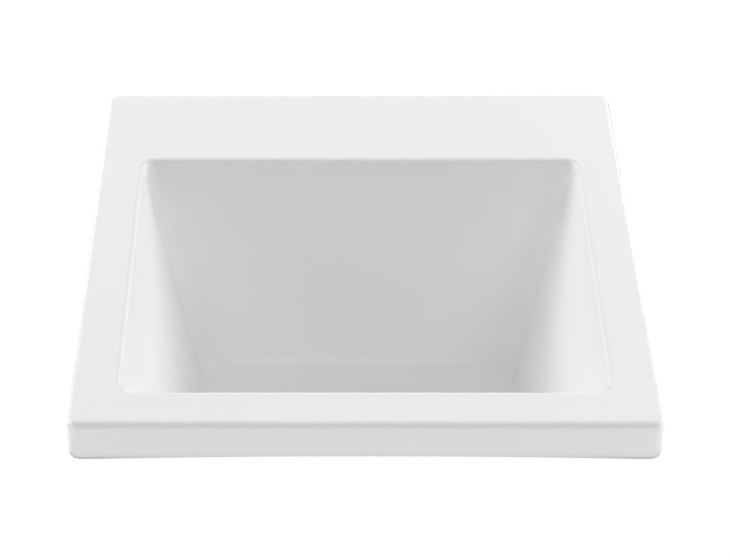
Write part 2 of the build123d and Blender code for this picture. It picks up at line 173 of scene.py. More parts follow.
# %% [markdown]
# ## Gloss white acrylic
# The face of the shell is a cast acrylic sheet, drawn by vacuum over a mould. It is white all the way
# through and polished, but the sheet relaxes as it cools, so long reflections waver a little and the gloss
# is not even everywhere. Two slow noises do that: one bends the surface and shifts the tint, and the
# other, about four times finer, clouds the gloss and adds a little to the bend.

# %% Acrylic
acrylic_white = (0.884, 0.890, 0.889)
acrylic_light = (0.889, 0.894, 0.892, 1)
acrylic_dark = (0.878, 0.886, 0.886, 1)
waver_scale = 9.0  # features to a metre
cloud_scale = 38.0
cloud_share = 0.25  # of the waver's height
waver_height = 0.35 * mm
acrylic_gloss = (0.075, 0.115)  # roughness from the clearest to the cloudiest


def acrylic_finish():
    """Gloss white sheet, of which two noises bend the surface, cloud the gloss and shift the tint."""
    material, tree, shader = new_material("gloss_white_acrylic", acrylic_white, 0.09, IOR=1.49)
    point = object_point(tree)
    slow = noise_at(tree, point, waver_scale, detail=1.0)
    cloud = noise_at(tree, point, cloud_scale, detail=2.0)
    tree.links.new(mix_colour(tree, slow, acrylic_light, acrylic_dark), shader.inputs["Base Color"])
    tree.links.new(remap(tree, cloud, *mid_noise, *acrylic_gloss), shader.inputs["Roughness"])
    height = calculate(tree, "MULTIPLY_ADD", cloud, cloud_share, slow)
    add_bump(tree, shader, height, waver_height, strength=0.35)
    return material


acrylic = acrylic_finish()
print("made", acrylic.name)

# %% [markdown]
# ## Glass fibre in resin
# Behind the acrylic lies a sprayed laminate: strands of glass as long as a finger, rolled flat and wetted
# with resin. From below it looks milky and slightly green-grey, with strands crossing in every direction,
# small lumps and a wet shine. A noise that is stretched in one direction gives streaks, but only if that
# direction lies in the surface. So the pattern first picks the two axes of the wall it is on, by the
# wall's normal, and then draws five sheets of streaks, each turned and shifted, and keeps the brightest.


# %% Laminate
facing_limit = 0.7  # a surface faces an axis when its normal has more than this along it


def wall_plane(tree, point):
    """The shaded point's two coordinates in the wall it is on: side wall, front or rear wall, or floor."""
    normal = add_node(tree, "ShaderNodeNewGeometry").outputs["Normal"]
    size = add_node(tree, "ShaderNodeVectorMath", {"operation": "ABSOLUTE"}, i0=normal)
    facing = add_node(tree, "ShaderNodeSeparateXYZ", Vector=size.outputs[0]).outputs
    place = add_node(tree, "ShaderNodeSeparateXYZ", Vector=point).outputs
    on_side = calculate(tree, "GREATER_THAN", facing["X"], facing_limit)
    on_floor = calculate(tree, "GREATER_THAN", facing["Z"], facing_limit)
    along = add_node(tree, "ShaderNodeMix", i0=on_side, i2=place["X"], i3=place["Y"])
    across = add_node(tree, "ShaderNodeMix", i0=on_floor, i2=place["Z"], i3=place["Y"])
    return add_node(tree, "ShaderNodeCombineXYZ", X=along.outputs[0], Y=across.outputs[0]).outputs[0]


strand_size = (40 * mm, 1.5 * mm)
strand_edge = (0.60, 0.74)  # the noise at which a strand starts and at which it is full
sheet_count = 5
sheet_start = 20  # degrees, for the first sheet
sheet_turn = 37  # degrees more for each one after it
sheet_shift = (3.1, 1.7)


def strand_sheet(tree, plane, number):
    """Thin bright streaks that run in one direction, which depends on the number of the sheet."""
    turned = add_node(tree, "ShaderNodeMapping", {"vector_type": "TEXTURE"}, Vector=plane,
                      Location=(sheet_shift[0] * number, sheet_shift[1] * number, 0),
                      Rotation=(0, 0, radians(sheet_start + sheet_turn * number)),
                      Scale=(*strand_size, 1)).outputs["Vector"]
    streaks = noise_at(tree, turned, 1.0, detail=1.5, roughness=0.6)
    return remap(tree, streaks, *strand_edge, 0.0, 1.0)


resin_dark = (0.55, 0.565, 0.51, 1)
resin_light = (0.62, 0.63, 0.58, 1)
glass_colour = (0.78, 0.79, 0.75, 1)
lump_scale = 60.0  # features to a metre
lump_height = 0.9 * mm
strand_share = 0.2  # of the lumps' height
laminate_gloss = (0.22, 0.42)


def laminate_finish():
    """Lumpy resin with glass strands in it, which are paler and stand up a little."""
    material, tree, shader = new_material("glass_fibre_laminate", (0.56, 0.58, 0.52), 0.3, IOR=1.52)
    point = object_point(tree)
    plane = wall_plane(tree, point)
    strands = strand_sheet(tree, plane, 0)
    for number in range(1, sheet_count):
        strands = calculate(tree, "MAXIMUM", strands, strand_sheet(tree, plane, number))
    lumps = noise_at(tree, point, lump_scale, detail=4.0)
    resin = mix_colour(tree, lumps, resin_dark, resin_light)
    tree.links.new(mix_colour(tree, strands, resin, glass_colour), shader.inputs["Base Color"])
    tree.links.new(remap(tree, lumps, *mid_noise, *laminate_gloss), shader.inputs["Roughness"])
    height = calculate(tree, "MULTIPLY_ADD", strands, strand_share, lumps)
    add_bump(tree, shader, height, lump_height, strength=0.7)
    return material


laminate = laminate_finish()
print("made", laminate.name)

# %% [markdown]
# ## Polished chrome and brushed steel
# Chrome is a thin mirror over polished brass. What makes it look real is what is wrong with it: faint
# lathe lines that run round the turned parts, and a haze of wiping marks. The lines are rings of noise
# that depend on the distance from the waste's axis and on the height, so each turned face carries its own.

# %% Chrome and steel
waste_low, waste_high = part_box("waste_body")
axis_x = (waste_low.x + waste_high.x) / 2
axis_y = (waste_low.y + waste_high.y) / 2
flange_top = waste_high.z


def turned_point(tree):
    """(distance from the waste's axis, 0, height) of the shaded point, so that noise on it makes rings."""
    centred = add_node(tree, "ShaderNodeMapping", Vector=object_point(tree), Location=(-axis_x, -axis_y, 0))
    parts = add_node(tree, "ShaderNodeSeparateXYZ", Vector=centred.outputs["Vector"])
    flat = add_node(tree, "ShaderNodeCombineXYZ", X=parts.outputs["X"], Y=parts.outputs["Y"])
    radius = add_node(tree, "ShaderNodeVectorMath", {"operation": "LENGTH"}, i0=flat.outputs[0])
    ring = add_node(tree, "ShaderNodeCombineXYZ", X=radius.outputs["Value"], Z=parts.outputs["Z"])
    return ring.outputs[0]


lathe_lines = 2600.0  # features to a metre
wipe_scale = 180.0
wipe_range = (0.3, 0.75)
clean_gloss, wiped_gloss = 0.7, 1.8  # times the metal's own roughness
wiped_tone = 0.93


def turned_metal(name, colour, roughness, line_depth):
    """A metal with fine rings from the lathe and a cloudy gloss."""
    material, tree, shader = new_material(name, colour, roughness, metallic=1.0)
    rings = noise_at(tree, turned_point(tree), lathe_lines, detail=2.0)
    wipes = noise_at(tree, object_point(tree), wipe_scale, detail=4.0)
    gloss = remap(tree, wipes, *wipe_range, roughness * clean_gloss, roughness * wiped_gloss)
    tree.links.new(gloss, shader.inputs["Roughness"])
    tone = mix_colour(tree, wipes, (*colour, 1), (*(wiped_tone * c for c in colour), 1))
    tree.links.new(tone, shader.inputs["Base Color"])
    add_bump(tree, shader, rings, line_depth, strength=0.5)
    return material


chrome = turned_metal("polished_chrome", (0.549, 0.556, 0.554), 0.05, 0.004 * mm)
brass = turned_metal("turned_brass", (0.78, 0.60, 0.30), 0.2, 0.01 * mm)
steel = turned_metal("stainless_steel", (0.58, 0.58, 0.57), 0.24, 0.012 * mm)
print("made", chrome.name, brass.name, steel.name)

# %% [markdown]
# ## Rubber, moulded plastics and the board
# Gaskets are matt black rubber, and the nut is black nylon. The latch is white acetal and the washer is
# waxy polyethylene, so light goes a little way into both. All four came out of a mould: they share a fine
# grain and slow patches in which the colour and the gloss differ a little.


# %% Rubber and plastics
patch_grains = 14  # grains across one patch of colour
patch_tone = 0.82
smooth_patch, rough_patch = 0.85, 1.15  # times the plastic's own roughness
depth_of_light = (1.2 * mm, 1.1 * mm, 1.0 * mm)  # how far red, green and blue light go in


def moulded_plastic(name, colour, roughness, grain, depth, subsurface=0.0):
    """A moulded plastic with the fine grain of its tool and a slightly uneven colour."""
    material, tree, shader = new_material(name, colour, roughness)
    shader.inputs["Subsurface Weight"].default_value = subsurface
    shader.inputs["Subsurface Radius"].default_value = depth_of_light
    point = object_point(tree)
    grain_noise = noise_at(tree, point, grain, detail=3.0)
    patches = noise_at(tree, point, grain / patch_grains, detail=2.0)
    tone = mix_colour(tree, patches, (*colour, 1), (*(patch_tone * c for c in colour), 1))
    tree.links.new(tone, shader.inputs["Base Color"])
    gloss = remap(tree, patches, *mid_noise, roughness * smooth_patch, roughness * rough_patch)
    tree.links.new(gloss, shader.inputs["Roughness"])
    add_bump(tree, shader, grain_noise, depth, strength=0.6)
    return material


rubber = moulded_plastic("black_rubber", (0.035, 0.035, 0.037), 0.62, 900.0, 0.05 * mm)
nylon = moulded_plastic("black_nylon", (0.055, 0.056, 0.060), 0.42, 1400.0, 0.03 * mm)
acetal = moulded_plastic("white_acetal", (0.80, 0.80, 0.77), 0.33, 1100.0, 0.01 * mm, subsurface=0.3)
waxy = moulded_plastic("natural_polyethylene", (0.76, 0.76, 0.72), 0.4, 700.0, 0.02 * mm, subsurface=0.4)
print("made", rubber.name, nylon.name, acetal.name, waxy.name)

# %% [markdown]
# The board is birch plywood: its faces show long grain, and its edges show the plies. A ply is a band in
# height, so one ramp over the board's height, folded once for each ply, tells the dark plies from the pale
# ones.

# %% Plywood
ply_count = 7
grain_stretch = (6, 90, 90)  # features to a metre along the grain and across it
wood_light = (0.66, 0.50, 0.33, 1)
wood_dark = (0.50, 0.35, 0.20, 1)
end_grain = (0.44, 0.30, 0.17, 1)
grain_depth = 0.15 * mm
grain_range = (0.35, 0.65)
ply_line = (0.45, 0.55)  # where one ply blends into the next
edge_turn = (0.4, 0.6)  # how upright the normal is where an edge turns into a face


def plywood_finish(bottom, top):
    """Birch plywood that lies flat between these two heights."""
    material, tree, shader = new_material("birch_plywood", (0.6, 0.46, 0.3), 0.5)
    point = object_point(tree)
    stretched = add_node(tree, "ShaderNodeMapping", Vector=point, Scale=grain_stretch).outputs["Vector"]
    grain = noise_at(tree, stretched, 1.0, detail=6.0, roughness=0.6)
    face = mix_colour(tree, remap(tree, grain, *grain_range, 0, 1), wood_light, wood_dark)
    height = add_node(tree, "ShaderNodeSeparateXYZ", Vector=point).outputs["Z"]
    ply = remap(tree, height, bottom, top, 0.0, float(ply_count))
    odd = calculate(tree, "PINGPONG", ply, 1.0)
    edge = mix_colour(tree, remap(tree, odd, *ply_line, 0, 1), end_grain, face)
    normal = add_node(tree, "ShaderNodeNewGeometry").outputs["Normal"]
    upright = add_node(tree, "ShaderNodeSeparateXYZ", Vector=normal).outputs["Z"]
    flat = calculate(tree, "ABSOLUTE", upright)
    colour = mix_colour(tree, remap(tree, flat, *edge_turn, 0, 1), edge, face)
    tree.links.new(colour, shader.inputs["Base Color"])
    add_bump(tree, shader, grain, grain_depth, strength=0.6)
    return material


board_low, board_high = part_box("deck_board")
plywood = plywood_finish(board_low.z, board_high.z)
print("made", plywood.name)

# %% [markdown]
# ## Dress the CAD nodes
# A CAD node whose shape is right only needs its finish. Its object already sits in place, so the cell goes
# through a table of node and finish and fills the material slots. The shell, the waste body and the spring
# aren't in the table, because the next cells make them anew.

# %% Finishes of the CAD nodes
finish_of = {
    "deck_board": plywood, "flange_gasket": rubber, "taper_gasket": rubber, "slip_washer": waxy,
    "lock_nut": nylon, "tailpiece": chrome, "tailpiece_washer": rubber, "latch_barrel": acetal,
    "follower_pins": steel, "guide_bush": acetal, "stopper_cap": chrome, "stopper_seal": rubber,
    "plunger": brass, "thrust_washer": steel, "retaining_clip": steel, "track_rotor": acetal,
}
for node_name, finish in finish_of.items():
    slots = nodes[node_name].data.materials
    for index in range(len(slots)):
        slots[index] = finish
print("dressed", len(finish_of), "nodes")

# %% [markdown]
# ## The shell as a pack of loops
# The basin could be shaded straight from its CAD mesh, but a gloss white surface shows every facet, and
# long thin triangles break a reflection. So the shell is built again as a pack of closed loops, like the
# growth rings of a tree. Every loop is a rounded rectangle with the same number of points, so neighbouring
# loops join with four-sided faces. The pack runs from the waste hole over the floor, up the walls, over
# the rim, down the skirt, and back along the underside to the hole again: one closed skin with no seam and
# no pole. All sizes are the CAD model's own, so the new skin lies on the old one.

# %% Sizes of the shell
basin_low, basin_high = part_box("basin")
rim_top = basin_high.z
skirt_draft = radians(1.0)
skirt_flare = rim_top * tan(skirt_draft)
rim_half = np.array([basin_high.x - skirt_flare, basin_high.y - skirt_flare])
rim_corner = 11.0 * mm
rim_edge = 6.5 * mm
shell_wall = 6.0 * mm
side_rim = 46.0 * mm
front_rim = 46.0 * mm
rear_deck = 122.0 * mm
bowl_depth = 240.0 * mm
wall_inset = 60.0 * mm
mouth_corner = 12.0 * mm
foot_corner = 30.0 * mm
mouth_edge = 5.5 * mm
floor_fillet = 9.0 * mm
fall = radians(1.5)  # of the floor, towards the waste
deck_root = 8.0 * mm
skirt_root = 4.0 * mm
trim_edge = 0.8 * mm  # the trimmed lower edge of the skirt is broken by hand

mouth_half = np.array([rim_half[0] - side_rim, rim_half[1] - (front_rim + rear_deck) / 2])
centre_y = (front_rim - rear_deck) / 2
deck_under = rim_top - shell_wall
dish_z = rim_top - bowl_depth - (mouth_half[1] - wall_inset) * tan(fall)
flange_lip = 2.4 * mm
gasket_thickness = 1.5 * mm
seat_radius = 34.5 * mm
seat_edge = 1.5 * mm
hole_radius = 22.25 * mm
boss_radius = 40.0 * mm
seat_z = flange_top - flange_lip - gasket_thickness
boss_z = seat_z - shell_wall
print("mouth", (2 * mouth_half / mm).round(1), "mm, floor at", round(dish_z / mm, 2), "mm")

# %% [markdown]
# A loop is drawn from four quarter arcs and four sides. Next to each arc the side has a point only a
# millimetre away: it keeps the shading of the flat side flat right up to the arc. The same trick is used
# between loops, where a flat face meets a fillet.

# %% A loop of the shell
arc_points = 17
side_points = 40
side_guard = 1.0 * mm


def loop_frame(half, corner):
    """Points of a rounded rectangle about the origin and the outward direction at each of them."""
    points, facing = [], []
    turns = np.linspace(0, pi / 2, arc_points)
    quarters = ((1, 1), (-1, 1), (-1, -1), (1, -1))
    arcs = []
    for index, (sx, sy) in enumerate(quarters):
        angle = turns + index * pi / 2
        direction = np.stack([np.cos(angle), np.sin(angle)], axis=1)
        arc_middle = np.array([sx * (half[0] - corner), sy * (half[1] - corner)])
        arcs.append((arc_middle + corner * direction, direction))
    for index, (arc, direction) in enumerate(arcs):
        points.append(arc)
        facing.append(direction)
        start, end = arc[-1], arcs[(index + 1) % 4][0][0]
        guard = side_guard / np.linalg.norm(end - start)
        share = np.linspace(0, 1, side_points)
        share = np.concatenate([[guard], share[1:-1], [1 - guard]])[:, None]
        points.append(start + share * (end - start))
        facing.append(np.repeat(direction[-1:], side_points, axis=0))
    return np.concatenate(points), np.concatenate(facing)


mouth_loop, outward = loop_frame(mouth_half, mouth_corner)
foot_loop, _ = loop_frame(mouth_half - wall_inset, foot_corner)
rim_loop, _ = loop_frame(rim_half, rim_corner)
middle = np.array([0.0, centre_y])
mouth_loop = mouth_loop + middle
foot_loop = foot_loop + middle
lean = np.arctan(-np.sum((foot_loop - mouth_loop) * outward, axis=1) / bowl_depth)
wall_normal = np.column_stack([-np.cos(lean)[:, None] * outward, np.sin(lean)])
skirt_normal = np.column_stack([cos(skirt_draft) * outward, np.full(len(outward), sin(skirt_draft))])
up = np.tile([0.0, 0.0, 1.0], (len(outward), 1))
print(len(outward), "points in a loop; the walls lean", np.degrees(lean.min()).round(1), "to",
      np.degrees(lean.max()).round(1), "degrees")

# %% [markdown]
# The walls are straight lines from the mouth to the foot, one from each point of the loop, which is what a
# loft between two outlines means. A fillet is a ball rolling in the corner between two faces: its centre
# is one radius away from both, and the surface is the arc of the ball between the two touching points. So
# every fillet needs only a centre and the two directions to turn between.


# %% Walls and rolling-ball fillets
wall_lean = atan(wall_inset / bowl_depth)
ball_rounds = 6  # the ball settles between wall and floor within these


def on_wall(depth, growth=0.0):
    """The loop on the bowl's wall at this depth under the rim, which may differ from point to point.
    Growth moves it outwards, square to the wall."""
    depth = np.broadcast_to(depth, len(outward))[:, None]
    flat = mouth_loop + depth / bowl_depth * (foot_loop - mouth_loop)
    flat = flat + growth / np.cos(wall_lean) * outward
    return np.column_stack([flat, rim_top - depth])


def on_skirt(height, growth=0.0):
    """The loop on the skirt's outer face at this height."""
    flat = rim_loop + ((rim_top - height) * tan(skirt_draft) + growth) * outward
    return np.column_stack([flat, np.full(len(outward), height)])


def rolled(centre, radius, first, last, steps):
    """Loops on the ball's surface from one direction to another, each a unit vector at every point."""
    cosine = np.clip(np.sum(first * last, axis=1), -1, 1)
    angle = np.arccos(cosine)[:, None]
    for share in np.linspace(0, 1, steps):
        direction = (np.sin((1 - share) * angle) * first + np.sin(share * angle) * last) / np.sin(angle)
        yield centre + radius * direction


def between(first, last, shares):
    """Loops on the straight faces between two loops."""
    for share in shares:
        yield first + share * (last - first)


def floor_ball(radius, growth, low_z):
    """Centres of the ball that rolls between wall and floor, and the floor's normals and rays there."""
    depth = np.full(len(outward), bowl_depth)
    for _ in range(ball_rounds):
        centre = on_wall(depth, growth) + radius * wall_normal
        distance = np.linalg.norm(centre[:, :2] - middle, axis=1)
        wanted = low_z + distance * tan(fall) + radius / cos(fall)
        depth = depth + (centre[:, 2] - wanted)
    radial = (centre[:, :2] - middle) / distance[:, None]
    normal = np.column_stack([-sin(fall) * radial, np.full(len(outward), cos(fall))])
    return centre, normal, radial


print("a straight wall leans", round(wall_lean * 180 / pi, 2), "degrees")

# %% [markdown]
# Now the pack is stacked up. Each line below adds one stretch of the skin and says what it is made of:
# acrylic on the face and on the first third of the trimmed edges, laminate behind. Guard loops stand close
# to each fillet, so that the flats stay flat under a soft light. The first stretch climbs out of the waste
# hole, crosses the flat seat of the flange and runs over the dished floor to the fillet at the foot of the
# walls.

# %% Stack the floor
face_side, back_side = 0, 1  # the shell's two slots, acrylic and laminate
guard = 0.5 * mm
hole_guard = 0.4 * mm
seat_guard = 0.3 * mm
laminate_rise = 4.0 * mm  # how far up the side of the hole the laminate shows
loops, skins = [], []


def stack(new_loops, skin):
    """Adds loops to the pack. The faces from each loop to the next one are of this skin."""
    for loop in new_loops:
        loops.append(np.array(loop))
        skins.append(skin)


def guarded(guard_share, first_share, count):
    """Shares of a flat stretch: even ones from first_share to as near its end, and a guard at each end."""
    return guard_share, *np.linspace(first_share, 1 - first_share, count), 1 - guard_share


def drain_loop(radius, height):
    """A circle about the waste's axis, with its points on the same rays as the floor's."""
    return np.column_stack([middle + radius * floor_radial, np.full(len(outward), height)])


face_centre, floor_normal, floor_radial = floor_ball(floor_fillet, 0.0, dish_z)
seat_top = dish_z + (seat_radius + seat_edge) * tan(fall)
seat_inner = drain_loop(hole_radius, seat_z)
seat_outer = drain_loop(seat_radius, seat_z)
stack([drain_loop(hole_radius, boss_z + laminate_rise), seat_inner], face_side)
stack(between(seat_inner, seat_outer, (0.04, 0.5, 0.97)), face_side)
stack([seat_outer, drain_loop(seat_radius, seat_z + seat_guard)], face_side)
stack([drain_loop(seat_radius + seat_edge * (1 - cos(turn)), seat_top - seat_edge * (1 - sin(turn)))
       for turn in np.linspace(0, pi / 2, 5)], face_side)

floor_start = drain_loop(seat_radius + seat_edge + guard, seat_top + guard * tan(fall))
floor_end = face_centre - floor_fillet * floor_normal
floor_guard = floor_end - np.column_stack([guard * floor_radial, np.full(len(outward), guard * tan(fall))])
stack(between(floor_start, floor_guard, np.linspace(0, 1, 12)), face_side)
stack(rolled(face_centre, floor_fillet, -floor_normal, -wall_normal, steps=10), face_side)
print(len(loops), "loops from the hole to the walls")

# %% [markdown]
# The next stretch goes up the walls, round the edge of the mouth, over the flat rim and deck, round the
# outer edge and down the skirt. Each rounded edge is a ball again, which rolls under the two faces that it
# joins.

# %% Stack the walls, the rim and the skirt
wall_foot = rim_top - (face_centre - floor_fillet * wall_normal)[:, 2]
mouth_drop = mouth_edge * (1 - np.sin(lean))
mouth_centre = on_wall(mouth_drop) - mouth_edge * wall_normal
stack([on_wall(wall_foot + (mouth_drop - wall_foot) * share)
       for share in guarded(0.004, 0.05, 22)], face_side)
stack(rolled(mouth_centre, mouth_edge, wall_normal, up, steps=9), face_side)

skirt_start = rim_top - rim_edge + rim_edge * sin(skirt_draft)
rim_centre = on_skirt(skirt_start) - rim_edge * skirt_normal
rim_inner = mouth_centre + mouth_edge * up
rim_outer = rim_centre + rim_edge * up
stack(between(rim_inner, rim_outer, guarded(0.012, 0.12, 7)), face_side)
stack(rolled(rim_centre, rim_edge, up, skirt_normal, steps=11), face_side)

skirt_rows = np.linspace(32 * mm, 5 * mm, 7)
lowest_row = 1.2 * mm
stack([on_skirt(height) for height in (skirt_start - guard, *skirt_rows, lowest_row)], face_side)
print(len(loops), "loops from the hole to the foot of the skirt")

# %% [markdown]
# At the trimmed edge the acrylic ends, and the laminate goes on up the inside of the skirt and under the
# deck. The two inner fillets on this way have radii of their own, because the laminate is rolled into them
# by hand.

# %% Stack the trimmed edge, the inside of the skirt and the deck
across = np.column_stack([outward, np.zeros(len(outward))])
edge_out = on_skirt(trim_edge) - trim_edge * across
edge_in = on_skirt(trim_edge, -shell_wall) + trim_edge * across
acrylic_end = 0.3  # share of the edge's flat
stack(rolled(edge_out, trim_edge, across, -up, steps=4), face_side)
stack(between(edge_out - trim_edge * up, edge_in - trim_edge * up, (acrylic_end,)), back_side)
stack(rolled(edge_in, trim_edge, -up, -across, steps=4), back_side)

root_height = deck_under - skirt_root + skirt_root * sin(skirt_draft)
root_centre = on_skirt(root_height, -shell_wall) - skirt_root * skirt_normal
inside_rows = (2 * mm, 5 * mm, 14 * mm, 24 * mm, root_height - guard)
stack([on_skirt(height, -shell_wall) for height in inside_rows], back_side)
stack(rolled(root_centre, skirt_root, skirt_normal, up, steps=6), back_side)

bowl_root_depth = shell_wall + deck_root * (1 - np.sin(lean))
bowl_root = on_wall(bowl_root_depth, shell_wall) - deck_root * wall_normal
stack(between(root_centre + skirt_root * up, bowl_root + deck_root * up, guarded(0.03, 0.2, 6)), back_side)
stack(rolled(bowl_root, deck_root, up, wall_normal, steps=8), back_side)
print(len(loops), "loops from the hole to the outside of the bowl")

# %% [markdown]
# The last stretch runs down the outside of the bowl, under the floor and round the boss, back to the hole.
# The fillet at the foot of the walls is the face's own plus one wall, so the shell stays as thick there.

# %% Stack the outside of the bowl and the boss
back_fillet = floor_fillet + shell_wall
back_low = dish_z - shell_wall / cos(fall)
back_centre, back_normal, _ = floor_ball(back_fillet, shell_wall, back_low)
back_foot = rim_top - (back_centre - back_fillet * wall_normal)[:, 2]
stack([on_wall(bowl_root_depth + (back_foot - bowl_root_depth) * share, shell_wall)
       for share in guarded(0.004, 0.06, 18)], back_side)
stack(rolled(back_centre, back_fillet, -wall_normal, -back_normal, steps=10), back_side)

boss_top = back_low + boss_radius * tan(fall)
boss_start = drain_loop(boss_radius, boss_top)
stack(between(back_centre - back_fillet * back_normal, boss_start, guarded(0.01, 0.1, 9)), back_side)
stack([boss_start, drain_loop(boss_radius, boss_top - guard), drain_loop(boss_radius, boss_z + guard),
       drain_loop(boss_radius - guard, boss_z), drain_loop(hole_radius + hole_guard, boss_z),
       drain_loop(hole_radius, boss_z + hole_guard)], back_side)
print(len(loops), "loops stacked")

# %% [markdown]
# The front of the skirt is not straight below: its lower edge rises a little towards the middle. Points of
# the front face are lifted by the arch in proportion to how low they sit, so the top of the apron stays
# level.


# %% Raise the front arch
skirt_arch = 3.5 * mm
arch_margin = 24.5 * mm
arch_half = rim_half[0] - arch_margin
straight_ahead = -0.999  # the front side's outward direction has less than this along Y


def lift_front(loop):
    """Lifts the low points of the front skirt by the arch."""
    arch_radius = (arch_half**2 + skirt_arch**2) / (2 * skirt_arch)
    x = np.clip(np.abs(loop[:, 0]), 0, arch_half)
    rise = np.sqrt(arch_radius**2 - x**2) - (arch_radius - skirt_arch)
    front = (outward[:, 1] < straight_ahead) & (loop[:, 1] < -rim_half[1] + 2 * shell_wall)
    low = np.clip((deck_under - skirt_root - loop[:, 2]) / (deck_under - skirt_root), 0, 1)
    loop[:, 2] += np.where(front, rise * low, 0)
    return loop


loops = [lift_front(loop) for loop in loops]
print("the arch lifts the front edge by", round(skirt_arch / mm, 1), "mm in its middle")


# %% [markdown]
# The mesh is the pack itself: point k of one loop joins point k of the next, and the last loop joins the
# first. The faces are shaded smooth, and the few real creases, such as the seat of the waste's flange, are
# marked sharp by their angle. The first material of the mesh is the acrylic and the second is the
# laminate.

# %% The shell's mesh
def finished_piece(name, mesh, body, crease):
    """Links a mesh as a piece that rides on a CAD body, smooth but for creases sharper than this angle."""
    piece = bpy.data.objects.new(name, mesh)
    bpy.context.scene.collection.objects.link(piece)
    mesh.shade_smooth()
    mesh.set_sharp_from_angle(angle=radians(crease))
    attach(piece, body)
    return piece


def shell_mesh():
    """Joins the loops with four-sided faces and gives each row of faces its skin's slot."""
    count = len(outward)
    total = len(loops)
    points = np.concatenate(loops)
    column = np.arange(count)
    next_column = (column + 1) % count
    faces, skin = [], []
    for row in range(total):
        above = (row + 1) % total
        quad = np.column_stack([row * count + column, row * count + next_column,
                                above * count + next_column, above * count + column])
        faces.extend(quad.tolist())
        skin.extend([skins[row]] * count)
    mesh = bpy.data.meshes.new("basin_shell")
    mesh.from_pydata(points.tolist(), [], faces)
    mesh.materials.append(acrylic)
    mesh.materials.append(laminate)
    mesh.polygons.foreach_set("material_index", skin)
    work = bmesh.new()
    work.from_mesh(mesh)
    bmesh.ops.recalc_face_normals(work, faces=work.faces)
    work.to_mesh(mesh)
    work.free()
    return mesh


shell = finished_piece("basin_shell", shell_mesh(), "basin", crease=38)
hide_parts("basin")
print("the shell has", len(shell.data.polygons), "faces")

# %% [markdown]
# ## A coil for the thread and the spring
# Two things on the waste are one shape in two sizes. The outside thread is a ridge wound round the barrel,
# and the return spring is a wire wound round the plunger. Both follow a rule, so one Geometry Nodes tree
# makes them: a spiral gives the path, and a circle is swept along it. A circle of four sides is a diamond,
# and its outer corner is the crest of a thread. Each use sets its sizes through the named inputs.


# %% The coil tree
def coil_tree():
    """A wire wound about the waste's axis, from its foot upwards."""
    tree = bpy.data.node_groups.new("coil", "GeometryNodeTree")
    sizes = ("Foot", "Radius", "Height", "Turns", "Wire Radius")
    kinds = {"Steps": "NodeSocketInt", "Wire Sides": "NodeSocketInt", "Finish": "NodeSocketMaterial"}
    for name, kind in {**dict.fromkeys(sizes, "NodeSocketFloat"), **kinds}.items():
        tree.interface.new_socket(name, in_out="INPUT", socket_type=kind)
    tree.interface.new_socket("Geometry", in_out="OUTPUT", socket_type="NodeSocketGeometry")
    given = tree.nodes.new("NodeGroupInput").outputs
    both_radii = dict.fromkeys(("Start Radius", "End Radius"), given["Radius"])
    path = add_node(tree, "GeometryNodeCurveSpiral", Resolution=given["Steps"], Rotations=given["Turns"],
                    Height=given["Height"], **both_radii)
    foot = add_node(tree, "ShaderNodeCombineXYZ", X=axis_x, Y=axis_y, Z=given["Foot"])
    placed = add_node(tree, "GeometryNodeTransform", Geometry=path.outputs[0], Translation=foot.outputs[0])
    upright = add_node(tree, "GeometryNodeSetCurveNormal", {"mode": "Z_UP"}, Curve=placed.outputs[0])
    section = add_node(tree, "GeometryNodeCurvePrimitiveCircle", Resolution=given["Wire Sides"],
                       Radius=given["Wire Radius"])
    swept = add_node(tree, "GeometryNodeCurveToMesh", Curve=upright.outputs[0], **{
                     "Profile Curve": section.outputs[0], "Fill Caps": True})
    real = add_node(tree, "GeometryNodeRealizeInstances", Geometry=swept.outputs[0])
    finished = add_node(tree, "GeometryNodeSetMaterial", Geometry=real.outputs[0], Material=given["Finish"])
    tree.links.new(finished.outputs[0], tree.nodes.new("NodeGroupOutput").inputs["Geometry"])
    return tree


def coil_mesh(tree, **inputs):
    """Runs the tree with these inputs and returns the result as a plain mesh."""
    maker = bpy.data.objects.new("coil_maker", bpy.data.meshes.new("coil_maker"))
    bpy.context.scene.collection.objects.link(maker)
    modifier = maker.modifiers.new("coil", "NODES")
    modifier.node_group = tree
    for item in tree.interface.items_tree:
        if item.in_out == "INPUT":
            modifier[item.identifier] = inputs[item.name.replace(" ", "_").lower()]
    ready = maker.evaluated_get(bpy.context.evaluated_depsgraph_get())
    mesh = bpy.data.meshes.new_from_object(ready)
    bpy.data.objects.remove(maker)
    return mesh


coil = coil_tree()
print("the coil tree has", len(coil.nodes), "nodes")

# %% [markdown]
# The CAD model's barrel is as wide as the crest of the thread. A copy of it is drawn in to the root, and
# the ridge is wound round it. The pitch is the 11 turns to an inch that such wastes have.

# %% The threaded waste
barrel_radius = 20.65 * mm
barrel_top = flange_top - 4.5 * mm
barrel_foot = flange_top - 65.0 * mm
thread_depth = 0.8 * mm
thread_pitch = 25.4 * mm / 11
ridge_radius = thread_pitch / 2
ridge_foot = barrel_foot + 1.2 * mm
ridge_height = 44.0 * mm
weld_distance = 0.005 * mm
near_barrel = 0.03 * mm  # a point this near to the barrel's radius is on it
end_slack = 0.1 * mm

ridge = coil_mesh(coil, foot=ridge_foot, radius=barrel_radius - ridge_radius, height=ridge_height,
                  turns=ridge_height / thread_pitch, steps=72, wire_radius=ridge_radius, wire_sides=4,
                  finish=chrome)


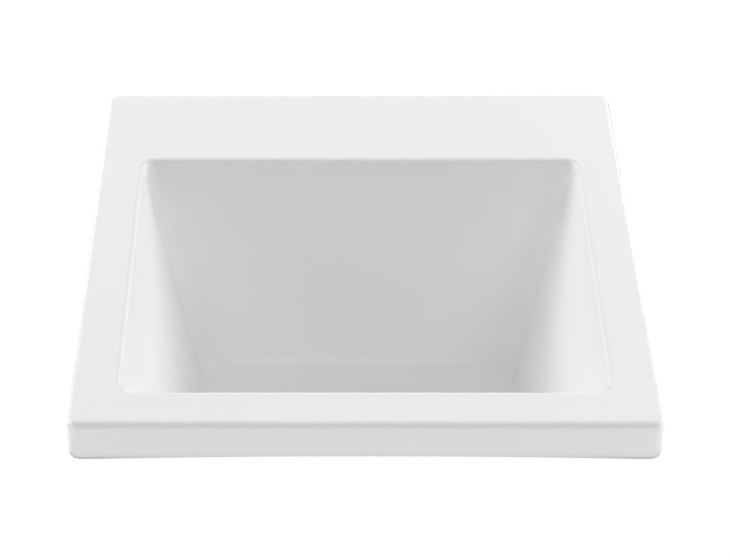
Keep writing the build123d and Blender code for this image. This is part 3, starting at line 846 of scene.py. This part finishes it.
def threaded_waste():
    """The CAD waste body with its barrel drawn in to the root of the thread, and the ridge on it."""
    work = bmesh.new()
    work.from_mesh(nodes["waste_body"].data)
    bmesh.ops.remove_doubles(work, verts=work.verts, dist=weld_distance)
    drawn_in = 0
    for vertex in work.verts:
        away = Vector((vertex.co.x - axis_x, vertex.co.y - axis_y))
        on_barrel = abs(away.length - barrel_radius) < near_barrel
        if on_barrel and barrel_foot - end_slack < vertex.co.z < barrel_top + end_slack:
            away *= 1 - thread_depth / barrel_radius
            vertex.co.x = axis_x + away.x
            vertex.co.y = axis_y + away.y
            drawn_in += 1
    work.from_mesh(ridge)
    bmesh.ops.recalc_face_normals(work, faces=work.faces)
    mesh = bpy.data.meshes.new("threaded_waste")
    mesh.materials.append(chrome)
    work.to_mesh(mesh)
    work.free()
    # the copy still carries the normals of the plain barrel, which would shade the thread wrongly
    mesh.attributes.remove(mesh.attributes["custom_normal"])
    print("drew in", drawn_in, "points of the barrel")
    return mesh


waste = finished_piece("threaded_waste", threaded_waste(), "basin", crease=30)
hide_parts("waste_body")

# %% [markdown]
# The spring stands on the floor of the latch barrel and is pressed by the stopper's washer. It is the one
# piece that changes its shape, but here it is wound to the full height of its room, and it gets a mesh of
# its own.

# %% The return spring
spring_low, spring_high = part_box("return_spring")
wire_radius = 0.5 * mm
spring_radius = 5.1 * mm
spring_turns = 6
spring_room = spring_high.z - spring_low.z

spring_mesh = coil_mesh(coil, foot=spring_low.z + wire_radius, radius=spring_radius,
                        height=spring_room - 2 * wire_radius, turns=spring_turns, steps=40,
                        wire_radius=wire_radius, wire_sides=12, finish=steel)
spring = finished_piece("sprung_wire", spring_mesh, "basin", crease=50)
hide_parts("return_spring")
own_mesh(spring)
print("the spring stands", round(spring_room / mm, 1), "mm high")

# %% [markdown]
# ## A worktop, a floor and soft light
# A drop-in basin is seen as it is used, hung in a worktop. So the stage has a plain white board with a
# cut-out, just under the rim, and a pale floor below the waste. From above both look nearly white to the
# camera and to reflections, but take and throw light like matt paint, so the object's shadow still falls
# on them. The board's edges and underside are paint alone.


# %% White paint for the stage
stage_white = 1.08  # what a camera sees on the stage where no lamp reaches, with 1 as white


def seen_directly(tree):
    """1 for what the camera sees, also in mirrors and through glass, and 0 for light that paint throws."""
    ray = tree.nodes.new("ShaderNodeLightPath").outputs
    seen = calculate(tree, "MAXIMUM", ray["Is Camera Ray"], ray["Is Glossy Ray"])
    return calculate(tree, "MAXIMUM", seen, ray["Is Transmission Ray"])


def white_stage(name, share, paint_tone):
    """Matt paint, of which a camera or a mirror sees this share as bright white. The rest shows shadows."""
    material = bpy.data.materials.new(name)
    material.use_nodes = True
    tree = material.node_tree
    tree.nodes.clear()
    paint = add_node(tree, "ShaderNodeBsdfDiffuse", Color=(paint_tone, paint_tone, paint_tone, 1))
    light = add_node(tree, "ShaderNodeEmission", Color=(1, 1, 1, 1), Strength=stage_white)
    shown = calculate(tree, "MULTIPLY", seen_directly(tree), share)
    mixed = add_node(tree, "ShaderNodeMixShader", i0=shown, i1=paint.outputs[0], i2=light.outputs[0])
    out = tree.nodes.new("ShaderNodeOutputMaterial")
    tree.links.new(mixed.outputs[0], out.inputs["Surface"])
    return material


floor_white = white_stage("floor_white", share=0.85, paint_tone=0.75)
board_white = white_stage("worktop_white", share=0.9, paint_tone=0.4)
board_edge = white_stage("worktop_edge", share=0.0, paint_tone=0.7)
print("made", floor_white.name, board_white.name, board_edge.name)

# %% [markdown]
# The floor is one large square just under the lowest point of the waste.

# %% Floor
floor_drop = 2.0 * mm  # under the lowest point of the waste
floor_z = cad_low.z - floor_drop
floor_reach = 6.0  # metres to each side


def stage_piece(name, mesh, *materials):
    """Links a mesh that is scenery and no part of the object."""
    piece = bpy.data.objects.new(name, mesh)
    for material in materials:
        mesh.materials.append(material)
    bpy.context.scene.collection.objects.link(piece)
    return piece


floor_mesh = bpy.data.meshes.new("floor")
floor_plan = ((-1, -1), (1, -1), (1, 1), (-1, 1))
floor_corners = [(x * floor_reach, y * floor_reach, floor_z) for x, y in floor_plan]
floor_mesh.from_pydata(floor_corners, [], [(0, 1, 2, 3)])
stage_piece("floor", floor_mesh, floor_white)
print("floor at", round(floor_z / mm, 1), "mm")

# %% [markdown]
# The board is four rings of four corners, joined like the loops of the shell: round the outside, round the
# cut-out, and the same again underneath. The cut-out clears the bowl, and the rim covers its edge.

# %% Worktop
board_top = -0.3 * mm
board_thickness = 16.0 * mm
cut_out_gap = 4.0 * mm
board_margin = np.array([[-0.03, -0.15], [0.03, 0.03]])  # past the rim: left and front, right and rear


def worktop_mesh():
    """A board with a rectangular cut-out that clears the bowl."""
    bowl_loop = on_wall(rim_top, shell_wall)[:, :2]
    hole = np.array([bowl_loop.min(0) - cut_out_gap, bowl_loop.max(0) + cut_out_gap])
    outer = np.array([[basin_low.x, basin_low.y], [basin_high.x, basin_high.y]]) + board_margin
    under = board_top - board_thickness
    work = bmesh.new()
    rings = []
    for corners, height in ((outer, board_top), (hole, board_top), (hole, under), (outer, under)):
        (x0, y0), (x1, y1) = corners
        rings.append([work.verts.new((x, y, height)) for x, y in ((x0, y0), (x1, y0), (x1, y1), (x0, y1))])
    for first, last in zip(rings, rings[1:] + rings[:1]):
        for k in range(4):
            work.faces.new((first[k], first[(k + 1) % 4], last[(k + 1) % 4], last[k]))
    bmesh.ops.recalc_face_normals(work, faces=work.faces)
    for face in work.faces:
        face.material_index = 0 if face.normal.z > 0.5 else 1
    mesh = bpy.data.meshes.new("worktop")
    work.to_mesh(mesh)
    work.free()
    return mesh


stage_piece("worktop", worktop_mesh(), board_white, board_edge)
print("worktop", round(board_thickness / mm, 1), "mm thick")

# %% [markdown]
# ## Softboxes
# Five softboxes stand round the sink, as in a product photograph. Two shine over its back corners and two
# on its sides, so the side walls are bright near the rim and fall off towards the rear corners. The two at
# the sides stand further off: a near lamp would give the skirt beside it far more light than the walls
# inside the bowl. The fifth stands high in front and lights the floor of the bowl. A gloss surface also
# shows the lamps themselves. The image of a strong one would wash out the rim, so mirrors see only the two
# at the sides.


# %% Softboxes
near_box = 2.2  # metres from the sink
far_box = 3.3


def lamp_at(name, place, direction, size, power, mirrored=True):
    """A rectangular lamp with its middle at place, which shines in this direction."""
    data = bpy.data.lights.new(name, "AREA")
    data.shape = "RECTANGLE"
    data.size, data.size_y = size
    data.energy = power
    lamp = bpy.data.objects.new(name, data)
    lamp.location = place
    lamp.rotation_euler = Vector(direction).to_track_quat("-Z", "Y").to_euler()
    lamp.visible_glossy = mirrored
    bpy.context.scene.collection.objects.link(lamp)
    return lamp


def softbox(name, turn, height, distance, size, power, mirrored=True):
    """A rectangular lamp that faces the sink. Turn and height are in degrees, and turn 0 is behind it."""
    level = distance * cos(radians(height))
    rise = distance * sin(radians(height))
    place = Vector((level * sin(radians(turn)), level * cos(radians(turn)), rise))
    lamp_at(name, place, -place, size, power, mirrored)


softbox("back_left", turn=304, height=22, distance=near_box, size=(1.5, 0.8), power=26.0, mirrored=False)
softbox("back_right", turn=56, height=23, distance=near_box, size=(1.5, 0.8), power=25.0, mirrored=False)
softbox("left", turn=270, height=23, distance=far_box, size=(2.4, 1.5), power=39.0)
softbox("right", turn=90, height=21, distance=far_box, size=(2.5, 1.4), power=35.5)
softbox("front", turn=164, height=59, distance=near_box, size=(2.8, 1.6), power=23.5, mirrored=False)
print(len(bpy.data.lights), "softboxes")

# %% [markdown]
# Most of the light on the apron comes up from the bright table before it. A wide flat lamp lies there and
# does the same. The camera and the reflections don't see it.

# %% Light from the table
glow_gap = 2.5 * mm
glow_height = glow_gap / 4
glow_size = (1.8, 1.1)
glow_strength = 2.7  # watts from each square metre
glow_place = (0, cad_low.y - glow_gap - glow_size[1] / 2, glow_height)
glow_power = glow_strength * glow_size[0] * glow_size[1]
glow = lamp_at("table", glow_place, (0, 0, 1), glow_size, glow_power, mirrored=False)
glow.visible_camera = False
print("light from the table starts", round(glow_gap / mm, 1), "mm from the apron")

# %% [markdown]
# ## Cards for the reflections
# Chrome in an all-white room looks like white plastic, because a mirror has no look of its own.
# Photographers put black cards beside it, out of the picture, which draw the dark streaks that the eye
# reads as metal. Here they lie on the floor as wedges that point at the waste. Only mirrors see the cards,
# so they neither shade nor light anything else.


# %% Floor cards
card_near, card_far = 0.05, 3.9  # metres from the waste
card_height = floor_z + 0.5 * mm
card_tone = 0.12
card_turns = ((25, 15), (125, 7), (160, 12), (265, 18))  # direction and half width in degrees


def mirror_card(name, corners, tone):
    """Flat faces, each of four corners, as bright as this tone, with 1 as white."""
    mesh = bpy.data.meshes.new(name)
    mesh.from_pydata(corners, [], [tuple(range(k, k + 4)) for k in range(0, len(corners), 4)])
    material = bpy.data.materials.new(name)
    material.use_nodes = True
    tree = material.node_tree
    tree.nodes.clear()
    shown = add_node(tree, "ShaderNodeEmission", Color=(1, 1, 1, 1), Strength=tone)
    tree.links.new(shown.outputs[0], tree.nodes.new("ShaderNodeOutputMaterial").inputs["Surface"])
    card = stage_piece(name, mesh, material)
    card.visible_camera = False
    card.visible_diffuse = False
    card.visible_transmission = False
    card.visible_shadow = False


def around(turn, away, height):
    """The point at this height, in this direction from the waste and this far from it."""
    return axis_x + away * sin(radians(turn)), axis_y + away * cos(radians(turn)), height


for turn, half_width in card_turns:
    first, last = turn - half_width, turn + half_width
    corners = [around(first, card_near, card_height), around(first, card_far, card_height),
               around(last, card_far, card_height), around(last, card_near, card_height)]
    mirror_card("floor_card_" + str(turn), corners, card_tone)
print(len(card_turns), "floor cards")

# %% [markdown]
# The gloss edges of the shell mirror what stands far away, near the horizon. A dark screen round the front
# and the sides gives them their darker tone, and a taller one in front draws the dark line along the
# rounded front edge. Two bright cards at the back light the side edges of the bowl's mouth.

# %% Screens
screen_distance = 4.0  # metres from the waste
screen_turns = (75, 285)  # degrees, from the right round the front to the left
screen_top = 1.9
screen_tone = 0.25
front_turns = (125, 235)
front_top = 6.9
front_tone = 0.10
bright_low, bright_high = 0.14, 1.0
bright_turn, bright_half_width = 39, 6  # degrees
bright_tone = 2.6


def screen_corners(first_turn, last_turn, low, high, sides=1):
    """Corners of a screen that stands at the screens' distance and bends round the waste in flat faces."""
    corners = []
    for k in range(sides):
        first, last = (first_turn + (last_turn - first_turn) * step / sides for step in (k, k + 1))
        corners += [around(first, screen_distance, low), around(last, screen_distance, low),
                    around(last, screen_distance, high), around(first, screen_distance, high)]
    return corners


mirror_card("dark_screen", screen_corners(*screen_turns, floor_z, screen_top, sides=20), screen_tone)
mirror_card("dark_front", screen_corners(*front_turns, screen_top, front_top, sides=10), front_tone)
for turn in (-bright_turn, bright_turn):
    corners = screen_corners(turn - bright_half_width, turn + bright_half_width, bright_low, bright_high)
    mirror_card("bright_card_" + str(turn), corners, bright_tone)
print("screens stand", screen_distance, "m away")

# %% [markdown]
# The world is white for the camera and for mirrors, and almost dark for matt surfaces, so it doesn't wash
# out the softboxes' light.

# %% World
world_fill = 0.02
world = bpy.data.worlds.new("studio")
bpy.context.scene.world = world
world.use_nodes = True
sky = world.node_tree
sky.nodes.clear()
fill = add_node(sky, "ShaderNodeBackground", Color=(1, 1, 1, 1), Strength=world_fill)
white = add_node(sky, "ShaderNodeBackground", Color=(1, 1, 1, 1), Strength=1.0)
both = add_node(sky, "ShaderNodeMixShader", i0=seen_directly(sky), i1=fill.outputs[0], i2=white.outputs[0])
sky.links.new(both.outputs[0], sky.nodes.new("ShaderNodeOutputWorld").inputs["Surface"])
bpy.context.scene.view_settings.view_transform = "Standard"
print("world fill", world_fill)
